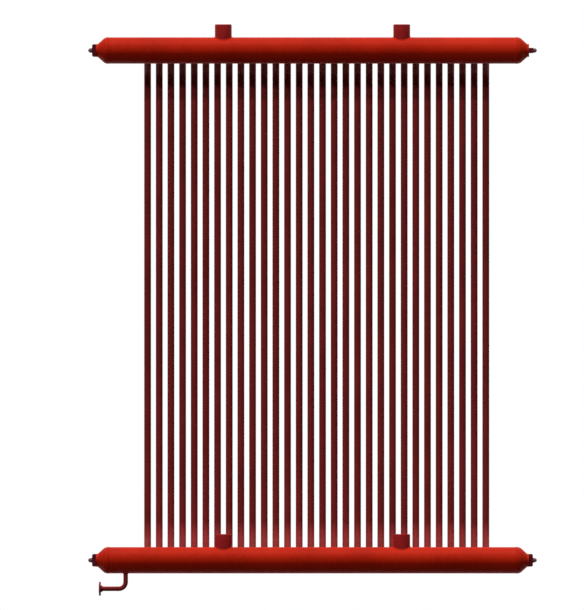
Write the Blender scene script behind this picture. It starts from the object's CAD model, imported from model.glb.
# Boiler tube panel: headers, bent tubes, hand holes, nozzles, drain and their welds, over the CAD frame
import math

import bpy
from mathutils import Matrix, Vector


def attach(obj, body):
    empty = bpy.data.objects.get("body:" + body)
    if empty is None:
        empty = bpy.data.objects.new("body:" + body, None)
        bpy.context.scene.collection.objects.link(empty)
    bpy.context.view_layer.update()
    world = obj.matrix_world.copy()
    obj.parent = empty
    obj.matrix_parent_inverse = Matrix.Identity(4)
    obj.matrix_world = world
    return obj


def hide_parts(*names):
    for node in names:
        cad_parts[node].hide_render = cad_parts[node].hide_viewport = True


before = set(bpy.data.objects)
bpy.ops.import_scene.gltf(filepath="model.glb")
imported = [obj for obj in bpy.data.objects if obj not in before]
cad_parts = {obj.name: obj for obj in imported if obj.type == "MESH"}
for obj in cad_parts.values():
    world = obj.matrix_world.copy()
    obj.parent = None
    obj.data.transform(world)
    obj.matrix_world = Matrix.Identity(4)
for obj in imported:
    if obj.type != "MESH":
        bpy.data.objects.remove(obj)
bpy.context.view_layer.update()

x_axis = Vector((1, 0, 0))
z_axis = Vector((0, 0, 1))

# Sizes that several pieces share, in metres. Along a header end they count from its seam with the pipe.
header_r = 0.10955
header_wall = 0.016
header_bore = header_r - header_wall
header_length = 3.4
header_mid = 0.742
header_sides = 128
end_x = header_mid + header_length / 2
upper_z = -0.218
lower_z = -4.458
header_drop = lower_z - upper_z
tube_r = 0.0285
tube_pitch = 0.097
tube_count = 30
first_tube_x = -0.6295
entry_angle = math.radians(62)
nozzle_r = 0.06985
upper_nozzle_bore = 0.05985
lower_nozzle_bore = 0.05785
nozzle_sides = 96
nozzle_xs = (0.0, 1.484)
nozzle_spacing = nozzle_xs[1] - nozzle_xs[0]
seat_inside = 0.0875
neck_face = 0.1015
opening_straight = 0.008
stud_hole_r = 0.0126
yoke_depth = 0.032
washer_thick = 0.004
drain_x = -0.812
drain_drop = 0.237
drain_z = lower_z - drain_drop
drain_r = 0.019
drain_bore = 0.015
drain_bend = 0.057
drain_hub = 0.194

# Longer than any wall that a small drill goes through
drill_length = 0.06


# Hand tools

def clear_selection():
    bpy.ops.object.select_all(action="DESELECT")


def pick(piece):
    clear_selection()
    piece.select_set(True)
    bpy.context.view_layer.objects.active = piece


def edit():
    bpy.ops.object.mode_set(mode="EDIT")


def edit_all():
    edit()
    bpy.ops.mesh.select_all(action="SELECT")


def done_editing():
    bpy.ops.object.mode_set(mode="OBJECT")


# The place of a piece goes into its mesh
def settle(piece):
    pick(piece)
    bpy.ops.object.transform_apply(location=True, rotation=True, scale=True)


def start_ring(centre, along, radius, sides):
    clear_selection()
    turn = along.to_track_quat("Z", "Y").to_euler()
    bpy.ops.mesh.primitive_circle_add(vertices=sides, radius=radius, location=centre, rotation=turn)
    edit_all()
    return bpy.context.object


def draw_out(step):
    bpy.ops.mesh.extrude_region_move(TRANSFORM_OT_translate={"value": tuple(step)})


def close_skin():
    bpy.ops.mesh.select_all(action="SELECT")
    bpy.ops.mesh.remove_doubles(threshold=1e-6)
    bpy.ops.mesh.normals_make_consistent(inside=False)


def merge_points(piece, gap):
    pick(piece)
    edit_all()
    bpy.ops.mesh.remove_doubles(threshold=gap)
    done_editing()


# A turned piece: one ring drawn out along the axis and scaled from radius to radius. A hollow piece comes
# back to the ring it began with, and a solid one has both its ends filled.
def turned(foot, along, rings, sides, solid=False):
    foot = Vector(foot)
    radius, height = rings[0]
    piece = start_ring(foot + along * height, along, radius, sides)
    for next_radius, next_height in rings[1:] if solid else rings[1:] + rings[:1]:
        draw_out(along * (next_height - height))
        factor = next_radius / radius
        centre = foot + along * next_height
        bpy.ops.transform.resize(value=(factor, factor, factor), center_override=centre)
        radius = next_radius
        height = next_height
    if solid:
        bpy.ops.mesh.select_all(action="SELECT")
        bpy.ops.mesh.fill_holes(sides=0)
    close_skin()
    done_editing()
    settle(piece)
    return piece


def rod(centre, along, radius, length, sides):
    clear_selection()
    turn = along.to_track_quat("Z", "Y").to_euler()
    bpy.ops.mesh.primitive_cylinder_add(
        vertices=sides, radius=radius, depth=length, location=centre, rotation=turn
    )
    piece = bpy.context.object
    settle(piece)
    return piece


def block(centre, size):
    clear_selection()
    bpy.ops.mesh.primitive_cube_add(size=1, location=centre, scale=size)
    piece = bpy.context.object
    settle(piece)
    return piece


def with_modifier(piece, kind, **settings):
    pick(piece)
    bpy.ops.object.modifier_add(type=kind)
    modifier = piece.modifiers[-1]
    for setting, value in settings.items():
        setattr(modifier, setting, value)
    bpy.ops.object.modifier_apply(modifier=modifier.name)


def cut(piece, cutter, operation="DIFFERENCE"):
    with_modifier(piece, "BOOLEAN", object=cutter, operation=operation, solver="EXACT")
    bpy.data.objects.remove(cutter)


def ease_edges(piece, width, steps=2, from_angle=35):
    with_modifier(
        piece, "BEVEL", width=width, segments=steps, limit_method="ANGLE",
        angle_limit=math.radians(from_angle)
    )


# Faces marked bare get no paint
def mark_bare(piece, is_bare):
    marks = piece.data.attributes.new("bare", "FLOAT", "FACE")
    for face in piece.data.polygons:
        marks.data[face.index].value = 1.0 if is_bare(face) else 0.0


def looks_inward(face, foot, along):
    out = face.center - Vector(foot)
    out -= along * out.dot(along)
    return face.normal.dot(out.normalized()) < -0.5


# A pipe's skin gets its wall, and the new faces, inside it and on its ends, are marked bare
def give_wall(pipe, wall):
    outside = len(pipe.data.polygons)
    with_modifier(pipe, "SOLIDIFY", thickness=wall, offset=-1)
    mark_bare(pipe, lambda face: face.index >= outside)


# A rod that leaves the walls of its hole bare
def drill(centre, along, radius, length, sides):
    piece = rod(centre, along, radius, length, sides)
    mark_bare(piece, lambda face: True)
    return piece


def pick_nothing(piece, kind):
    pick(piece)
    edit()
    bpy.ops.mesh.select_mode(type=kind)
    bpy.ops.mesh.select_all(action="DESELECT")
    done_editing()


def pick_edges(piece, wanted):
    pick_nothing(piece, "EDGE")
    points = [point.co for point in piece.data.vertices]
    for edge in piece.data.edges:
        edge.select = wanted(points[edge.vertices[0]], points[edge.vertices[1]])
    edit()


def pick_points(piece, wanted):
    pick_nothing(piece, "VERT")
    for point in piece.data.vertices:
        point.select = wanted(point.co)
    edit()


def copy_of(piece, shift=(0, 0, 0), turned_round=False):
    pick(piece)
    bpy.ops.object.duplicate()
    copy = bpy.context.object
    if turned_round:
        bpy.ops.transform.rotate(value=math.pi, orient_axis="Z", center_override=(header_mid, 0, 0))
    bpy.ops.transform.translate(value=shift)
    settle(copy)
    return copy


def gather(pieces):
    clear_selection()
    for piece in pieces:
        piece.select_set(True)
    bpy.context.view_layer.objects.active = pieces[0]
    bpy.ops.object.join()
    return pieces[0]


def put_in(piece, name, material, nodes, smooth_angle=32, flat_faced=False):
    merge_points(piece, gap=2e-6)
    bpy.ops.object.shade_smooth_by_angle(angle=math.radians(smooth_angle))
    if flat_faced:
        with_modifier(piece, "WEIGHTED_NORMAL", keep_sharp=True)
    piece.name = name
    piece.data.name = name
    piece.data.materials.clear()
    piece.data.materials.append(material)
    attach(piece, "root")
    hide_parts(*nodes)


# Materials

def new_material(name):
    material = bpy.data.materials.new(name)
    material.use_nodes = True
    nodes = material.node_tree.nodes
    return material, nodes, material.node_tree.links, nodes["Principled BSDF"]


def noise(nodes, links, scale, detail, rough=0.5):
    place = nodes.new("ShaderNodeTexCoord")
    texture = nodes.new("ShaderNodeTexNoise")
    texture.inputs["Scale"].default_value = scale
    texture.inputs["Detail"].default_value = detail
    texture.inputs["Roughness"].default_value = rough
    links.new(place.outputs["Object"], texture.inputs["Vector"])
    return texture.outputs["Fac"]


# Three tones, dark to light, at three stops of a noise
def ramp(nodes, links, source, stops, tones):
    colours = nodes.new("ShaderNodeValToRGB")
    band = colours.color_ramp
    band.elements.new(stops[1])
    for element, stop, tone in zip(band.elements, stops, tones):
        element.position = stop
        element.color = (*tone, 1)
    links.new(source, colours.inputs["Fac"])
    return colours.outputs["Color"]


def spread(nodes, links, source, low, high):
    span = nodes.new("ShaderNodeMapRange")
    span.inputs["From Min"].default_value = 0.3
    span.inputs["From Max"].default_value = 0.7
    span.inputs["To Min"].default_value = low
    span.inputs["To Max"].default_value = high
    links.new(source, span.inputs["Value"])
    return span.outputs["Result"]


def relief(nodes, links, shader, source, depth, strength):
    bump = nodes.new("ShaderNodeBump")
    bump.inputs["Distance"].default_value = depth
    bump.inputs["Strength"].default_value = strength
    links.new(source, bump.inputs["Height"])
    links.new(bump.outputs["Normal"], shader.inputs["Normal"])


paint_stops = (0.39, 0.5, 0.61)
red_tones = ((0.43, 0.0142, 0.0034), (0.51, 0.0170, 0.0040), (0.57, 0.0208, 0.0050))
weld_tones = ((0.37, 0.0130, 0.0032), (0.44, 0.0155, 0.0038), (0.49, 0.0185, 0.0048))
nozzle_tones = ((0.29, 0.0140, 0.0140), (0.34, 0.0165, 0.0170), (0.38, 0.0195, 0.0200))
tube_tones = ((0.193, 0.0185, 0.0175), (0.227, 0.0218, 0.0208), (0.261, 0.0254, 0.0240))
mill_scale_stops = (0.35, 0.5, 0.65)
mill_scale_tones = ((0.026, 0.016, 0.013), (0.040, 0.026, 0.021), (0.062, 0.038, 0.029))


# A brushed red coat: slow drifts of tone with finer clouds in them, an uneven gloss and a fine orange peel.
# Faces marked bare, inside the pipes, show dark mill scale instead.
def paint(name, tones, gloss, shine, peel_scale, peel_depth):
    material, nodes, links, shader = new_material(name)
    cloud_share = 0.4
    drift = noise(nodes, links, scale=2.6, detail=5)
    clouds = noise(nodes, links, scale=34, detail=5, rough=0.62)
    both = nodes.new("ShaderNodeMix")
    both.inputs["Factor"].default_value = cloud_share
    links.new(drift, both.inputs["A"])
    links.new(clouds, both.inputs["B"])
    bare = nodes.new("ShaderNodeAttribute")
    bare.attribute_name = "bare"
    coat = nodes.new("ShaderNodeMixRGB")
    links.new(bare.outputs["Fac"], coat.inputs["Fac"])
    links.new(ramp(nodes, links, both.outputs["Result"], paint_stops, tones), coat.inputs["Color1"])
    links.new(ramp(nodes, links, clouds, mill_scale_stops, mill_scale_tones), coat.inputs["Color2"])
    links.new(coat.outputs["Color"], shader.inputs["Base Color"])
    links.new(spread(nodes, links, clouds, *gloss), shader.inputs["Roughness"])
    peel = noise(nodes, links, scale=peel_scale, detail=3)
    relief(nodes, links, shader, peel, peel_depth, strength=0.3)
    shader.inputs["Specular IOR Level"].default_value = shine
    shader.inputs["Specular Tint"].default_value = (1.0, 0.08, 0.05, 1)
    return material


red_paint = paint(
    "red_paint", red_tones, gloss=(0.50, 0.62), shine=0.22, peel_scale=420, peel_depth=0.0005
)
nozzle_paint = paint(
    "nozzle_paint", nozzle_tones, gloss=(0.52, 0.62), shine=0.2, peel_scale=420, peel_depth=0.0005
)
tube_paint = paint(
    "tube_paint", tube_tones, gloss=(0.54, 0.62), shine=0.1, peel_scale=420, peel_depth=0.0004
)
weld_paint = paint(
    "weld_paint", weld_tones, gloss=(0.52, 0.62), shine=0.22, peel_scale=700, peel_depth=0.0006
)

patch_stops = (0.3, 0.55, 0.8)


# The closures' own finishes: patches of tone, worn a little smoother in places, with fine pits
def patchy(name, tones, gloss, metal, grain, sheen):
    material, nodes, links, shader = new_material(name)
    patches = noise(nodes, links, scale=38, detail=6, rough=0.6)
    links.new(ramp(nodes, links, patches, patch_stops, tones), shader.inputs["Base Color"])
    links.new(spread(nodes, links, patches, *gloss), shader.inputs["Roughness"])
    pits = noise(nodes, links, scale=grain, detail=4)
    relief(nodes, links, shader, pits, depth=0.0003, strength=0.3)
    shader.inputs["Metallic"].default_value = metal
    shader.inputs["Specular IOR Level"].default_value = 0.3
    shader.inputs["Specular Tint"].default_value = (*sheen, 1)
    return material


dark_steel = patchy(
    "dark_steel", ((0.058, 0.008, 0.014), (0.082, 0.011, 0.019), (0.106, 0.016, 0.026)),
    gloss=(0.46, 0.62), metal=0.0, grain=900, sheen=(1.0, 0.04, 0.08)
)
fastener_steel = patchy(
    "fastener_steel", ((0.062, 0.020, 0.024), (0.088, 0.028, 0.032), (0.118, 0.042, 0.046)),
    gloss=(0.38, 0.54), metal=0.3, grain=1200, sheen=(1.0, 0.4, 0.45)
)
gasket_sheet = patchy(
    "gasket_sheet", ((0.020, 0.020, 0.021), (0.032, 0.032, 0.034), (0.050, 0.050, 0.052)),
    gloss=(0.6, 0.8), metal=0.0, grain=2600, sheen=(1.0, 1.0, 1.0)
)


# Headers: a pipe scored across between its holes, given its wall, and drilled for nozzles, tubes and drain

def entry_direction(up):
    return Vector((0, math.sin(entry_angle), up * math.cos(entry_angle)))


def row_of_tubes(piece):
    with_modifier(
        piece, "ARRAY", count=tube_count, use_relative_offset=False, use_constant_offset=True,
        constant_offset_displace=(tube_pitch, 0, 0)
    )


def header_pipe(name, axis_z, tubes_up, nozzle_bore, node):
    clear_selection()
    bpy.ops.mesh.primitive_cylinder_add(
        vertices=header_sides, radius=header_r, depth=header_length, end_fill_type="NOTHING",
        location=(header_mid, 0, axis_z), rotation=(0, math.pi / 2, 0)
    )
    pipe = bpy.context.object
    settle(pipe)
    beside_nozzle = 0.067
    scores = [x + side * beside_nozzle for x in nozzle_xs for side in (-1, 1)]
    scores += [first_tube_x + tube_pitch * (i - 0.5) for i in range(tube_count + 1)]
    edit()
    for score in scores:
        bpy.ops.mesh.select_all(action="SELECT")
        bpy.ops.mesh.bisect(plane_co=(score, 0, axis_z), plane_no=x_axis)
    done_editing()
    give_wall(pipe, header_wall)
    crown_drill_length = 0.16
    for x in nozzle_xs:
        cut(pipe, drill((x, 0, axis_z + header_r), z_axis, nozzle_bore, crown_drill_length, nozzle_sides))
    hole_gap = 0.0003
    out = entry_direction(tubes_up)
    wall_middle = Vector((first_tube_x, 0, axis_z)) + out * (header_r - header_wall / 2)
    tube_drill = drill(wall_middle, out, tube_r + hole_gap, drill_length, sides=48)
    row_of_tubes(tube_drill)
    cut(pipe, tube_drill)
    if node == "lower_header":
        cut(pipe, drill((drain_x, 0, axis_z - header_r), z_axis, drain_bore, drill_length, sides=48))
    put_in(pipe, name, red_paint, [node])


header_pipe("upper_header_pipe", upper_z, -1, upper_nozzle_bore, "upper_header")
header_pipe("lower_header_pipe", lower_z, 1, lower_nozzle_bore, "lower_header")


# Wall tubes: a ring drawn out of the lower header, spun through both bends and drawn into the upper header

def first_tube():
    wall = 0.005
    tube_plane = 0.4
    bend_radius = 0.19
    bend_steps = 12
    bend_tangent = bend_radius * math.tan(entry_angle / 2)
    bend_start = tube_plane / math.sin(entry_angle) - bend_tangent
    bend_top = tube_plane / math.tan(entry_angle) + bend_tangent
    bend_y = tube_plane - bend_radius
    short_of_bore = 0.001
    root = header_bore + short_of_bore
    out = entry_direction(1)
    tube = start_ring(Vector((first_tube_x, 0, lower_z)) + out * root, out, tube_r, sides=40)
    draw_out(out * (bend_start - root))
    middle = (first_tube_x, bend_y, lower_z + bend_top)
    bpy.ops.mesh.spin(steps=bend_steps, angle=-entry_angle, center=middle, axis=x_axis)
    draw_out(z_axis * (upper_z - lower_z - 2 * bend_top))
    middle = (first_tube_x, bend_y, upper_z - bend_top)
    bpy.ops.mesh.spin(steps=bend_steps, angle=-entry_angle, center=middle, axis=x_axis)
    draw_out(-entry_direction(-1) * (bend_start - root))
    close_skin()
    done_editing()
    settle(tube)
    give_wall(tube, wall)
    return tube


tube = first_tube()
tubes = [tube] + [copy_of(tube, (i * tube_pitch, 0, 0)) for i in range(1, tube_count)]
for i, tube in enumerate(tubes, 1):
    put_in(tube, f"wall_tube_{i:02d}", tube_paint, [f"tube_{i:02d}"])


# Header ends and their closures are made at the upper right and copied to the other three ends

# The copies are upright, and level_first lays the first piece level on its stud
def on_all_ends(piece, name, material, node_of, level_first=False, flat_faced=False):
    places = (
        ("upper_right", 0, False), ("upper_left", 0, True),
        ("lower_right", header_drop, False), ("lower_left", header_drop, True)
    )
    pieces = [piece] + [copy_of(piece, (0, 0, drop), turned_round) for _, drop, turned_round in places[1:]]
    if level_first:
        turn_level(piece)
    for copy, (place, _, _) in zip(pieces, places):
        put_in(copy, f"{place}_{name}", material, node_of(place), flat_faced=flat_faced)


def turn_level(piece):
    pick(piece)
    edit_all()
    bpy.ops.transform.rotate(value=math.pi / 2, orient_axis="X", center_override=(end_x, 0, upper_z))
    done_editing()


# A rod with two half-round sides, for the opening and for the cover that closes it
def obround(x, length, radius):
    piece = rod((x + length / 2, 0, upper_z), x_axis, radius, length, sides=64)
    for side in (-1, 1):
        pick_points(piece, lambda p: side * (p.z - upper_z) > 1e-6)
        bpy.ops.transform.translate(value=(0, 0, side * opening_straight))
        done_editing()
    return piece


# Lip, shoulder, cone, neck and seat, turned in one piece, with the opening cut through the seat
def header_end():
    seam_lap = 0.004
    lip = 0.005
    shoulder = 0.05
    cone = math.radians(42)
    neck_r = 0.054
    neck_fillet = 0.006
    ease = 0.002
    skin = [(header_r, -seam_lap), (header_r, lip)]
    for i in range(1, 9):
        a = cone * i / 8
        skin.append((header_r - shoulder * (1 - math.cos(a)), lip + shoulder * math.sin(a)))
    shoulder_r, shoulder_end = skin[-1]
    cone_end = shoulder_end + (shoulder_r - neck_r) / math.tan(cone)
    fillet_end = cone_end + neck_fillet * math.tan(cone / 2)
    for i in range(5):
        a = cone * (1 - i / 4)
        skin.append((neck_r + neck_fillet * (1 - math.cos(a)), fillet_end - neck_fillet * math.sin(a)))
    for i in range(4):
        a = math.pi / 2 * i / 3
        skin.append((neck_r - ease * (1 - math.cos(a)), neck_face - ease * (1 - math.sin(a))))
    pilot_r = 0.012
    neck_bore = 0.044
    cone_bore = 0.08482
    inner_cone = 0.02775
    inner_neck = inner_cone + (cone_bore - neck_bore) / math.tan(cone)
    inside = [
        (pilot_r, neck_face), (pilot_r, seat_inside), (neck_bore, seat_inside), (neck_bore, inner_neck),
        (cone_bore, inner_cone), (header_bore, lip), (header_bore, -seam_lap)
    ]
    foot = (end_x, 0, upper_z)
    piece = turned(foot, x_axis, skin + inside, sides=96)
    opening_r = 0.026
    opening_from = 0.075
    cut(piece, obround(end_x + opening_from, 0.04, opening_r))
    mark_bare(piece, lambda face: face.normal.x < -0.5 or looks_inward(face, foot, x_axis))
    return piece


def cover_with_stud():
    gasket_thick = 0.002
    plate_thick = 0.012
    plate_r = 0.033
    back = end_x + seat_inside - gasket_thick
    plate = obround(back - plate_thick, plate_thick, plate_r)
    ease_edges(plate, width=0.0015)
    stud_reach = 0.0635
    core_r = 0.0104
    tip_r = 0.0092
    chamfer = 0.0014
    length = neck_face + stud_reach - seat_inside + gasket_thick
    plain_foot = 0.004
    thread_pitch = 0.003
    thread_turn = ((0.0103, 0.0003), (0.0119, 0.0013), (0.0119, 0.0018), (0.0103, 0.0028))
    turns = int((length - plain_foot) / thread_pitch)
    rings = [(core_r, 0)]
    for i in range(turns):
        low = length - chamfer - thread_pitch * (turns - i)
        rings += [(radius, low + rise) for radius, rise in thread_turn]
    rings += [(core_r, length - chamfer), (tip_r, length)]
    stud = turned((back, 0, upper_z), x_axis, rings, sides=48, solid=True)
    return gather([plate, stud])


# A bar with a rounded nose at both ends, hollow underneath, with the stud's hole through it
def yoke():
    width = 0.044
    length = 0.105
    nose = 0.013
    hollow = 0.007
    rib = 0.006
    toe = 0.015
    foot = end_x + neck_face
    crown = foot + yoke_depth
    middle = (foot + yoke_depth / 2, 0, upper_z)
    bar = block(middle, (yoke_depth, width, length))
    pick_edges(bar, lambda a, b: min(a.x, b.x) > crown - 1e-4 and abs(a.z - b.z) < 1e-4)
    bpy.ops.mesh.bevel(offset=nose, segments=8)
    done_editing()
    cut(bar, block((foot, 0, upper_z), (2 * hollow, width - 2 * rib, length - 2 * toe)))
    cut(bar, rod(middle, x_axis, stud_hole_r, drill_length, sides=48))
    ease_edges(bar, width=0.0018, steps=3)
    return bar


def washer():
    washer_r = 0.022
    ease = 0.0006
    low = neck_face + yoke_depth
    high = low + washer_thick
    rings = [
        (stud_hole_r, low), (washer_r - ease, low), (washer_r, low + ease), (washer_r, high - ease),
        (washer_r - ease, high), (stud_hole_r, high)
    ]
    return turned((end_x, 0, upper_z), x_axis, rings, sides=64)


# A hexagon, bored, turned to a chamfer at both faces, and countersunk at the outer one
def nut():
    height = 0.019
    half_flats = 0.018
    bore = 0.0121
    chamfer = 0.0024
    face_r = 0.0172
    past_corner = 0.0215
    thread_r = 0.0118
    sink_r = 0.0142
    sink_depth = 0.0022
    past_face = 0.0002
    low = end_x + neck_face + yoke_depth + washer_thick
    foot = (low, 0, upper_z)
    middle = (low + height / 2, 0, upper_z)
    clear_selection()
    bpy.ops.mesh.primitive_cylinder_add(
        vertices=6, radius=half_flats / math.cos(math.pi / 6), depth=height, location=middle,
        rotation=(0, math.pi / 2, 0)
    )
    hexagon = bpy.context.object
    settle(hexagon)
    cut(hexagon, rod(middle, x_axis, bore, drill_length, sides=48))
    rings = [(face_r, 0), (past_corner, chamfer), (past_corner, height - chamfer), (face_r, height)]
    cut(hexagon, turned(foot, x_axis, rings, sides=72, solid=True), "INTERSECT")
    sink = [(thread_r, height - sink_depth), (sink_r, height + past_face)]
    cut(hexagon, turned(foot, x_axis, sink, sides=48, solid=True))
    return hexagon


on_all_ends(header_end(), "header_end", red_paint, lambda place: [f"{place}_end"])
on_all_ends(cover_with_stud(), "cover_and_stud", dark_steel, lambda place: [f"{place}_cover"])
on_all_ends(
    yoke(), "yoke", dark_steel, lambda place: [f"{place}_yoke"],
    level_first=True, flat_faced=True
)
on_all_ends(washer(), "washer", fastener_steel, lambda place: ["handhole_washers"])
on_all_ends(nut(), "nut", fastener_steel, lambda place: ["handhole_nuts"])


# Nozzles: a pipe end with a weld preparation, cut to the header's round

def nozzle(axis_z, nozzle_bore):
    foot = 0.075
    height = 0.218
    bevel = 0.006
    bevel_low = height - bevel
    ease = 0.0008
    rings = [
        (nozzle_r, foot), (nozzle_r, bevel_low - ease), (nozzle_r - ease / 2, bevel_low + ease / 2),
        (nozzle_r - bevel + ease / 2, height - ease / 2), (nozzle_r - bevel - ease / 2, height),
        (nozzle_bore + ease / 2, height), (nozzle_bore, height - ease / 2), (nozzle_bore, foot)
    ]
    axis = (0, 0, axis_z)
    pipe = turned(axis, z_axis, rings, nozzle_sides)
    seat_r = header_r - 0.0003
    cut(pipe, rod(axis, x_axis, seat_r, 3 * nozzle_r, header_sides))
    mark_bare(pipe, lambda face: looks_inward(face, axis, z_axis))
    return pipe


def nozzles():
    across = (nozzle_spacing, 0, 0)
    upper = nozzle(upper_z, upper_nozzle_bore)
    lower = nozzle(lower_z, lower_nozzle_bore)
    places = (
        ("upper_left", upper), ("upper_right", copy_of(upper, across)),
        ("lower_left", lower), ("lower_right", copy_of(lower, across))
    )
    for place, piece in places:
        put_in(piece, f"{place}_nozzle_pipe", nozzle_paint, [f"{place}_nozzle"])


nozzles()


# Drain: one run of pipe down from the lower header and round to the left, into a flange. Along the level
# pipe its sizes count from the upright one.

def drain_run():
    stub_top = lower_z - 0.101
    bend_z = drain_z + drain_bend
    pipe_end = 0.219
    pipe = start_ring((drain_x, 0, stub_top), z_axis, drain_r, sides=48)
    draw_out(z_axis * (bend_z - stub_top))
    bpy.ops.mesh.spin(steps=16, angle=-math.pi / 2, center=(drain_x - drain_bend, 0, bend_z), axis=(0, 1, 0))
    draw_out(x_axis * (drain_bend - pipe_end))
    close_skin()
    done_editing()
    settle(pipe)
    give_wall(pipe, drain_r - drain_bore)
    put_in(pipe, "drain_run", tube_paint, ["drain_stub", "drain_elbow", "drain_pipe"])


def drain_flange():
    back = 0.206
    front = 0.222
    face_at = 0.224
    bore = 0.0193
    hub_r = 0.026
    hub_foot_r = 0.028
    face_r = 0.034
    rim = 0.0575
    chamfer = 0.0015
    rings = [
        (bore, drain_hub), (hub_r, drain_hub), (hub_foot_r, back), (rim - chamfer, back),
        (rim, back + chamfer), (rim, front - chamfer), (rim - chamfer, front), (face_r, front),
        (face_r, face_at)
    ]
    grooves = 8
    groove_r = 0.0328
    groove_pitch = 0.0015
    groove_depth = 0.00028
    for i in range(grooves):
        outer = groove_r - groove_pitch * i
        rings += [(outer, face_at), (outer - groove_pitch / 2, face_at - groove_depth)]
    rings += [(groove_r - groove_pitch * grooves, face_at), (bore, face_at)]
    axis = Vector((drain_x, 0, drain_z))
    flange = turned(axis, -x_axis, rings, sides=96)
    bolts = 4
    bolt_circle_r = 0.0425
    bolt_hole_r = 0.007
    for i in range(bolts):
        a = 2 * math.pi * (i + 0.5) / bolts
        hole = axis + Vector((-(back + front) / 2, bolt_circle_r * math.cos(a), bolt_circle_r * math.sin(a)))
        cut(flange, rod(hole, x_axis, bolt_hole_r, drill_length, sides=32))
    merge_points(flange, gap=1e-5)
    ease_edges(flange, width=0.0006, from_angle=50)
    mark_bare(
        flange, lambda face: (face.center - axis).yz.length < face_r + 0.0005
        and (face.normal.x < -0.5 or looks_inward(face, axis, x_axis))
    )
    put_in(flange, "drain_flange_ring", tube_paint, ["drain_flange"], flat_faced=True)


drain_run()
drain_flange()


# Welds: a ring of weld metal, laid on the line where two round parts meet and rippled by the run of the arc.
# A sunk bead fills a corner, and a flat one lies over a seam.

def bead(major, minor, ripple, sides, height_at, flat=1.0, sunk=0.0):
    root = -0.003
    points_in_ripple = 4
    ripples = round(2 * math.pi * major / ripple)
    clear_selection()
    bpy.ops.mesh.primitive_torus_add(
        major_radius=major, minor_radius=minor, major_segments=ripples * points_in_ripple,
        minor_segments=sides, location=(0, 0, 0)
    )
    ring = bpy.context.object
    for point in ring.data.vertices:
        angle = math.atan2(point.co.y, point.co.x)
        out = math.hypot(point.co.x, point.co.y) - major
        up = point.co.z
        lag = 1.1 * ((out - up) / minor) ** 2 if sunk else 2.2 * (up / minor) ** 2
        scallop = abs(math.sin((ripples * angle - lag) / 2))
        swell = 0.96 + 0.09 * scallop + 0.03 * math.sin(3 * angle + 1) * math.sin(7 * angle)
        out = max(out * swell * flat - sunk, root)
        up = up * swell - sunk
        if sunk:
            up = max(up, root)
        point.co.x = (major + out) * math.cos(angle)
        point.co.y = (major + out) * math.sin(angle)
        point.co.z = up + height_at(major * math.sin(angle))
    return ring


def on_header(side):
    return math.sqrt(header_r * header_r - side * side)


def on_flat(side):
    return 0


def place_bead(ring, place, turn):
    ring.location = place
    ring.rotation_euler = turn
    settle(ring)


def on_both_headers(ring, across):
    shifts = ((across, 0, 0), (0, 0, header_drop), (across, 0, header_drop))
    return gather([ring] + [copy_of(ring, shift) for shift in shifts])


def put_in_beads(ring, name, material, node):
    put_in(ring, name, material, [node], smooth_angle=60)


def tube_beads(name, axis_z, turn, node):
    ring = bead(tube_r, minor=0.0072, ripple=0.0055, sides=12, height_at=on_header, sunk=0.0025)
    place_bead(ring, (first_tube_x, 0, axis_z), (turn, 0, 0))
    row_of_tubes(ring)
    put_in_beads(ring, name, weld_paint, node)


def nozzle_beads():
    ring = bead(nozzle_r, minor=0.0099, ripple=0.007, sides=16, height_at=on_header, sunk=0.0035)
    place_bead(ring, (0, 0, upper_z), (0, 0, 0))
    rings = on_both_headers(ring, nozzle_spacing)
    put_in_beads(rings, "nozzle_beads", weld_paint, "nozzle_welds")


def seam_beads():
    ring = bead(header_r - 0.0004, minor=0.0072, ripple=0.006, sides=12, height_at=on_flat, flat=0.28)
    place_bead(ring, (end_x, 0, upper_z), (0, math.pi / 2, 0))
    rings = on_both_headers(ring, -header_length)
    put_in_beads(rings, "seam_beads", weld_paint, "seam_welds")


def drain_beads():
    past_bend = drain_bend + 0.004
    foot = bead(drain_r, minor=0.0068, ripple=0.005, sides=12, height_at=on_header, sunk=0.0025)
    place_bead(foot, (drain_x, 0, lower_z), (math.pi, 0, 0))
    bend_seam = bead(drain_r - 0.0002, minor=0.0038, ripple=0.0045, sides=8, height_at=on_flat, flat=0.36)
    level_seam = copy_of(bend_seam)
    place_bead(bend_seam, (drain_x, 0, drain_z + past_bend), (0, 0, 0))
    place_bead(level_seam, (drain_x - past_bend, 0, drain_z), (0, math.pi / 2, 0))
    hub = bead(drain_r, minor=0.0068, ripple=0.005, sides=12, height_at=on_flat, sunk=0.0025)
    place_bead(hub, (drain_x - drain_hub, 0, drain_z), (0, math.pi / 2, 0))
    rings = gather([foot, bend_seam, level_seam, hub])
    put_in_beads(rings, "drain_beads", tube_paint, "drain_welds")


tube_beads("upper_tube_beads", upper_z, entry_angle - math.pi, "upper_tube_welds")
tube_beads("lower_tube_beads", lower_z, -entry_angle, "lower_tube_welds")
nozzle_beads()
seam_beads()
drain_beads()


# The gaskets keep their CAD shape

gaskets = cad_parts["handhole_gaskets"]
gaskets.data.materials.clear()
gaskets.data.materials.append(gasket_sheet)


# Floor, light and camera

# One for what the camera sees straight, in a gloss or through glass, and nought for soft light
def seen_by_eye(nodes, links):
    path = nodes.new("ShaderNodeLightPath")
    straight_or_gloss = nodes.new("ShaderNodeMath")
    straight_or_gloss.operation = "MAXIMUM"
    links.new(path.outputs["Is Camera Ray"], straight_or_gloss.inputs[0])
    links.new(path.outputs["Is Glossy Ray"], straight_or_gloss.inputs[1])
    any_of_them = nodes.new("ShaderNodeMath")
    any_of_them.operation = "MAXIMUM"
    links.new(straight_or_gloss.outputs["Value"], any_of_them.inputs[0])
    links.new(path.outputs["Is Transmission Ray"], any_of_them.inputs[1])
    return any_of_them.outputs["Value"]


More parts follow.
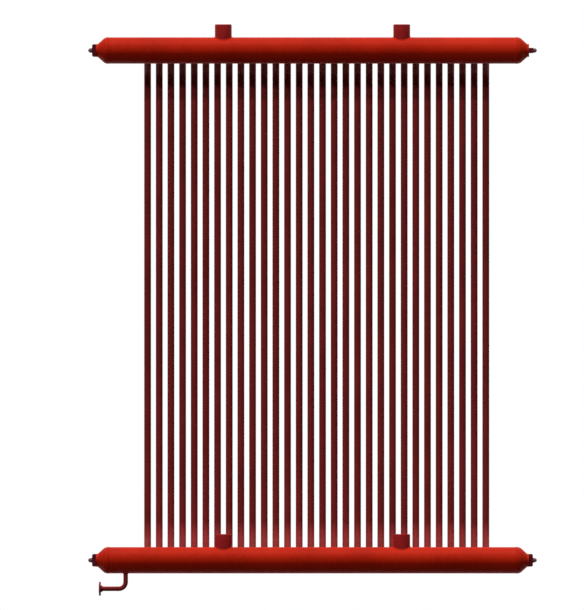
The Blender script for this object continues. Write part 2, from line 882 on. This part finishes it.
# One shader for soft light and another for the eye
def show_to_eye(nodes, links, soft, seen, output):
    mixer = nodes.new("ShaderNodeMixShader")
    links.new(seen_by_eye(nodes, links), mixer.inputs["Fac"])
    links.new(soft, mixer.inputs[1])
    links.new(seen, mixer.inputs[2])
    links.new(mixer.outputs["Shader"], nodes[output].inputs["Surface"])


# A pale floor that throws little light back up
def lay_floor():
    floor_z = -4.7535
    clear_selection()
    bpy.ops.mesh.primitive_plane_add(size=16, location=(header_mid, 0, floor_z))
    floor = bpy.context.object
    floor.name = "floor"
    pale, nodes, links, shader = new_material("pale_floor")
    shader.inputs["Base Color"].default_value = (0.86, 0.87, 0.88, 1)
    shader.inputs["Roughness"].default_value = 0.9
    quiet = nodes.new("ShaderNodeBsdfDiffuse")
    quiet.inputs["Color"].default_value = (0.03, 0.03, 0.03, 1)
    show_to_eye(nodes, links, quiet.outputs["BSDF"], shader.outputs["BSDF"], "Material Output")
    floor.data.materials.append(pale)


def light_room():
    world = bpy.data.worlds.new("studio")
    bpy.context.scene.world = world
    world.use_nodes = True
    nodes = world.node_tree.nodes
    soft = nodes["Background"]
    soft.inputs["Color"].default_value = (1, 1, 1, 1)
    soft.inputs["Strength"].default_value = 0.03
    seen = nodes.new("ShaderNodeBackground")
    seen.inputs["Color"].default_value = (1, 1, 1, 1)
    seen.inputs["Strength"].default_value = 1
    show_to_eye(
        nodes, world.node_tree.links, soft.outputs["Background"], seen.outputs["Background"], "World Output"
    )


def sun(name, elevation, azimuth, strength, softness, shadow, gloss):
    lamp = bpy.data.lights.new(name, "SUN")
    lamp.energy = strength
    lamp.angle = math.radians(softness)
    lamp.use_shadow = shadow
    holder = bpy.data.objects.new(name, lamp)
    holder.visible_glossy = gloss
    bpy.context.scene.collection.objects.link(holder)
    holder.rotation_euler = (math.radians(90 - elevation), 0, math.radians(azimuth))


# A straight front view with no perspective
def set_camera():
    scene = bpy.context.scene
    scene.view_settings.view_transform = "Standard"
    view_height = 5.0737
    view_x = 0.5715
    view_z = -2.3348
    distance = 7
    view = bpy.data.cameras.new("camera")
    view.type = "ORTHO"
    view.ortho_scale = view_height
    camera = bpy.data.objects.new("camera", view)
    scene.collection.objects.link(camera)
    camera.location = (view_x, -distance, view_z)
    camera.rotation_euler = (math.pi / 2, 0, 0)
    scene.camera = camera


lay_floor()
light_room()
sun("key_light", elevation=75, azimuth=-20, strength=2.7, softness=8, shadow=False, gloss=True)
sun("front_light", elevation=33, azimuth=-26, strength=0.68, softness=4, shadow=True, gloss=True)
sun("back_light", elevation=40, azimuth=165, strength=0.8, softness=8, shadow=False, gloss=False)
set_camera()
